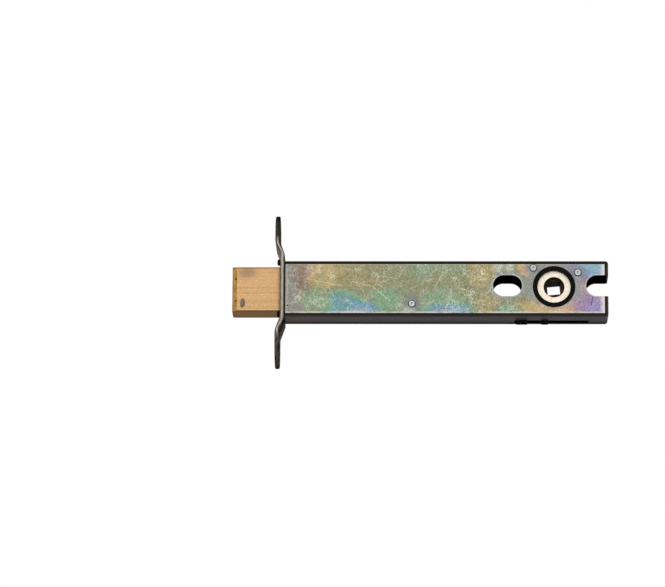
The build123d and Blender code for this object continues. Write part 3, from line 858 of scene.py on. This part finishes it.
def dress_nodes():
    """Every solid's look, by its node."""
    rivets = rivet_steel()
    nylon = black_nylon()
    looks = {
        "forend": forend_steel(),
        "case_tray": passivated("passivated_tray", -1.0, False),
        "case_cover": passivated("passivated_cover", 1.0, True),
        "guide_pillar": rivets,
        "front_spring_pillar": rivets,
        "rear_spring_pillar": rivets,
        "front_hub_bush": nylon,
        "rear_hub_bush": nylon,
        "detent_spring": spring_steel(),
        "hub": cast_zinc(),
        "bolt_head": bolt_brass(),
        "bolt_tail": tail_steel(),
        "upper_tail_rivet": rivets,
        "lower_tail_rivet": rivets,
    }
    for name, material in looks.items():
        piece = frame["nodes"][name]
        piece.data.materials.clear()
        piece.data.materials.append(material)


def on_rim(edge):
    """Whether an edge is sharp and on the forend's rim, two round ends joined by straight sides."""
    if edge.calc_face_angle(0.0) <= SHARP_ANGLE:
        return False
    for corner in edge.verts:
        past_straight = max(abs(corner.co.z) / MM - FOREND_STRAIGHT, 0.0)
        if math.hypot(corner.co.y / MM, past_straight) <= FOREND_RADIUS - RIM_MARGIN:
            return False
    return True


def roll_forend():
    """The forend with its outer rim rolled round, in place of the square-cut strip."""
    mesh = frame["nodes"]["forend"].data.copy()
    form = bmesh.new()
    form.from_mesh(mesh)
    bmesh.ops.remove_doubles(form, verts=form.verts, dist=WELD * MM)
    bmesh.ops.dissolve_limit(form, angle_limit=FLAT_ANGLE, verts=form.verts, edges=form.edges)
    rim = [edge for edge in form.edges if on_rim(edge)]
    bmesh.ops.bevel(
        form, geom=rim, offset=RIM_ROLL * MM, segments=RIM_SEGMENTS, profile=0.5, affect="EDGES"
    )
    for face in form.faces:
        face.smooth = True
    form.to_mesh(mesh)
    form.free()
    mesh.set_sharp_from_angle(angle=SMOOTH_ANGLE)
    strip = bpy.data.objects.new("forend_strip", mesh)
    bpy.context.scene.collection.objects.link(strip)
    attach(strip, "case")
    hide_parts("forend")


def make_floor():
    """A plain pale floor, far below a part that hangs from its forend."""
    bpy.ops.mesh.primitive_plane_add(size=FLOOR_SIZE, location=FLOOR_PLACE)
    floor = bpy.context.object
    floor.name = "floor"
    paint = Paint("floor", 0.0)
    colour = paint.ramp(paint.noise(0.004), FLOOR_TONES)
    floor.data.materials.append(paint.finish(colour, (0.7, 0.9)))


def make_world():
    """White where it is looked at or mirrored, and a little less where it lights."""
    world = bpy.data.worlds.new("studio")
    bpy.context.scene.world = world
    world.use_nodes = True
    tree = world.node_tree
    background = tree.nodes["Background"]
    background.inputs["Color"].default_value = (1, 1, 1, 1)
    path = tree.nodes.new("ShaderNodeLightPath")
    seen = path.outputs["Is Camera Ray"]
    for kind in ("Is Glossy Ray", "Is Transmission Ray"):
        either = tree.nodes.new("ShaderNodeMath")
        either.operation = "ADD"
        either.use_clamp = True
        tree.links.new(seen, either.inputs[0])
        tree.links.new(path.outputs[kind], either.inputs[1])
        seen = either.outputs[0]
    strength = tree.nodes.new("ShaderNodeMapRange")
    strength.inputs["To Min"].default_value = WHITE_CAST
    strength.inputs["To Max"].default_value = WHITE_SEEN
    tree.links.new(seen, strength.inputs["Value"])
    tree.links.new(strength.outputs[0], background.inputs["Strength"])


def make_lamp(name, place, power, size):
    """A large soft lamp that looks at the middle of the part."""
    data = bpy.data.lights.new(name, "AREA")
    data.energy = power
    data.size = size
    lamp = bpy.data.objects.new(name, data)
    bpy.context.scene.collection.objects.link(lamp)
    lamp.location = place
    lamp.rotation_euler = (LAMP_AIM - lamp.location).to_track_quat("-Z", "Y").to_euler()


def make_camera():
    """The photo's camera: nearly square on to the part's side, from a little below."""
    level = math.cos(CAMERA_DROP)
    right_of_part = math.sin(CAMERA_SWING) * level
    before_part = math.cos(CAMERA_SWING) * level
    back = Vector((right_of_part, -before_part, -math.sin(CAMERA_DROP)))
    turn = (-back).to_track_quat("-Z", "Y") @ Quaternion((0, 0, 1), CAMERA_ROLL)
    right = (PICTURE[0] / 2 - ORIGIN_PIXEL[0]) / PIXELS_PER_METRE
    up = (ORIGIN_PIXEL[1] - PICTURE[1] / 2) / PIXELS_PER_METRE
    data = bpy.data.cameras.new("camera")
    data.sensor_fit = "HORIZONTAL"
    data.sensor_width = SENSOR_WIDTH
    data.lens = PIXELS_PER_METRE * CAMERA_DISTANCE * SENSOR_WIDTH / PICTURE[0]
    data.clip_end = CAMERA_REACH
    camera = bpy.data.objects.new("camera", data)
    bpy.context.scene.collection.objects.link(camera)
    camera.location = turn @ Vector((right, up, CAMERA_DISTANCE))
    camera.rotation_euler = turn.to_euler()
    bpy.context.scene.camera = camera


bpy.context.scene.view_settings.view_transform = "Standard"
dress_nodes()
roll_forend()
make_floor()
make_world()
for lamp in LAMPS:
    make_lamp(*lamp)
make_camera()
